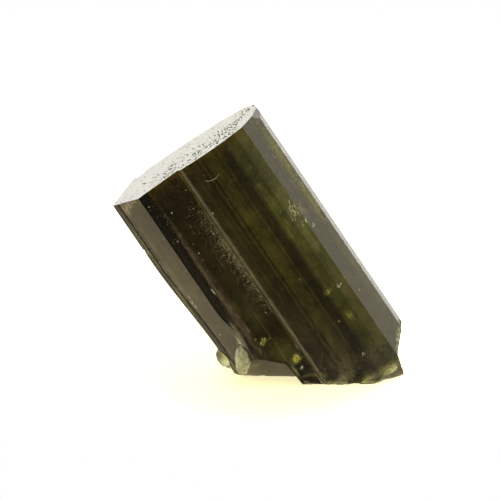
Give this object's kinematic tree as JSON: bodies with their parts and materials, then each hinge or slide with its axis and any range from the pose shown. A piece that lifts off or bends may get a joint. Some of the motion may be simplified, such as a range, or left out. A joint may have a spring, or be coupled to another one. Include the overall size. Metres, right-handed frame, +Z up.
{
  "type": "vesuvianite crystal",
  "caption": "Dark olive vesuvianite crystal: a flattened, striated prism with a flat top, leaning on its broken foot.",
  "frame": {"origin": "on the surface that the crystal rests on, under the middle of its box", "axes": "+Z up, +X to the right along the foot, away from the side that the crystal leans to, +Y away from the broad front face"},
  "size_m": [0.0193, 0.0064, 0.0182],
  "materials": {
    "vesuvianite": "vitreous, dark olive, see-through only at thin edges"
  },
  "bodies": {
    "root": {"crystal": "vesuvianite"}
  },
  "joints": []
}
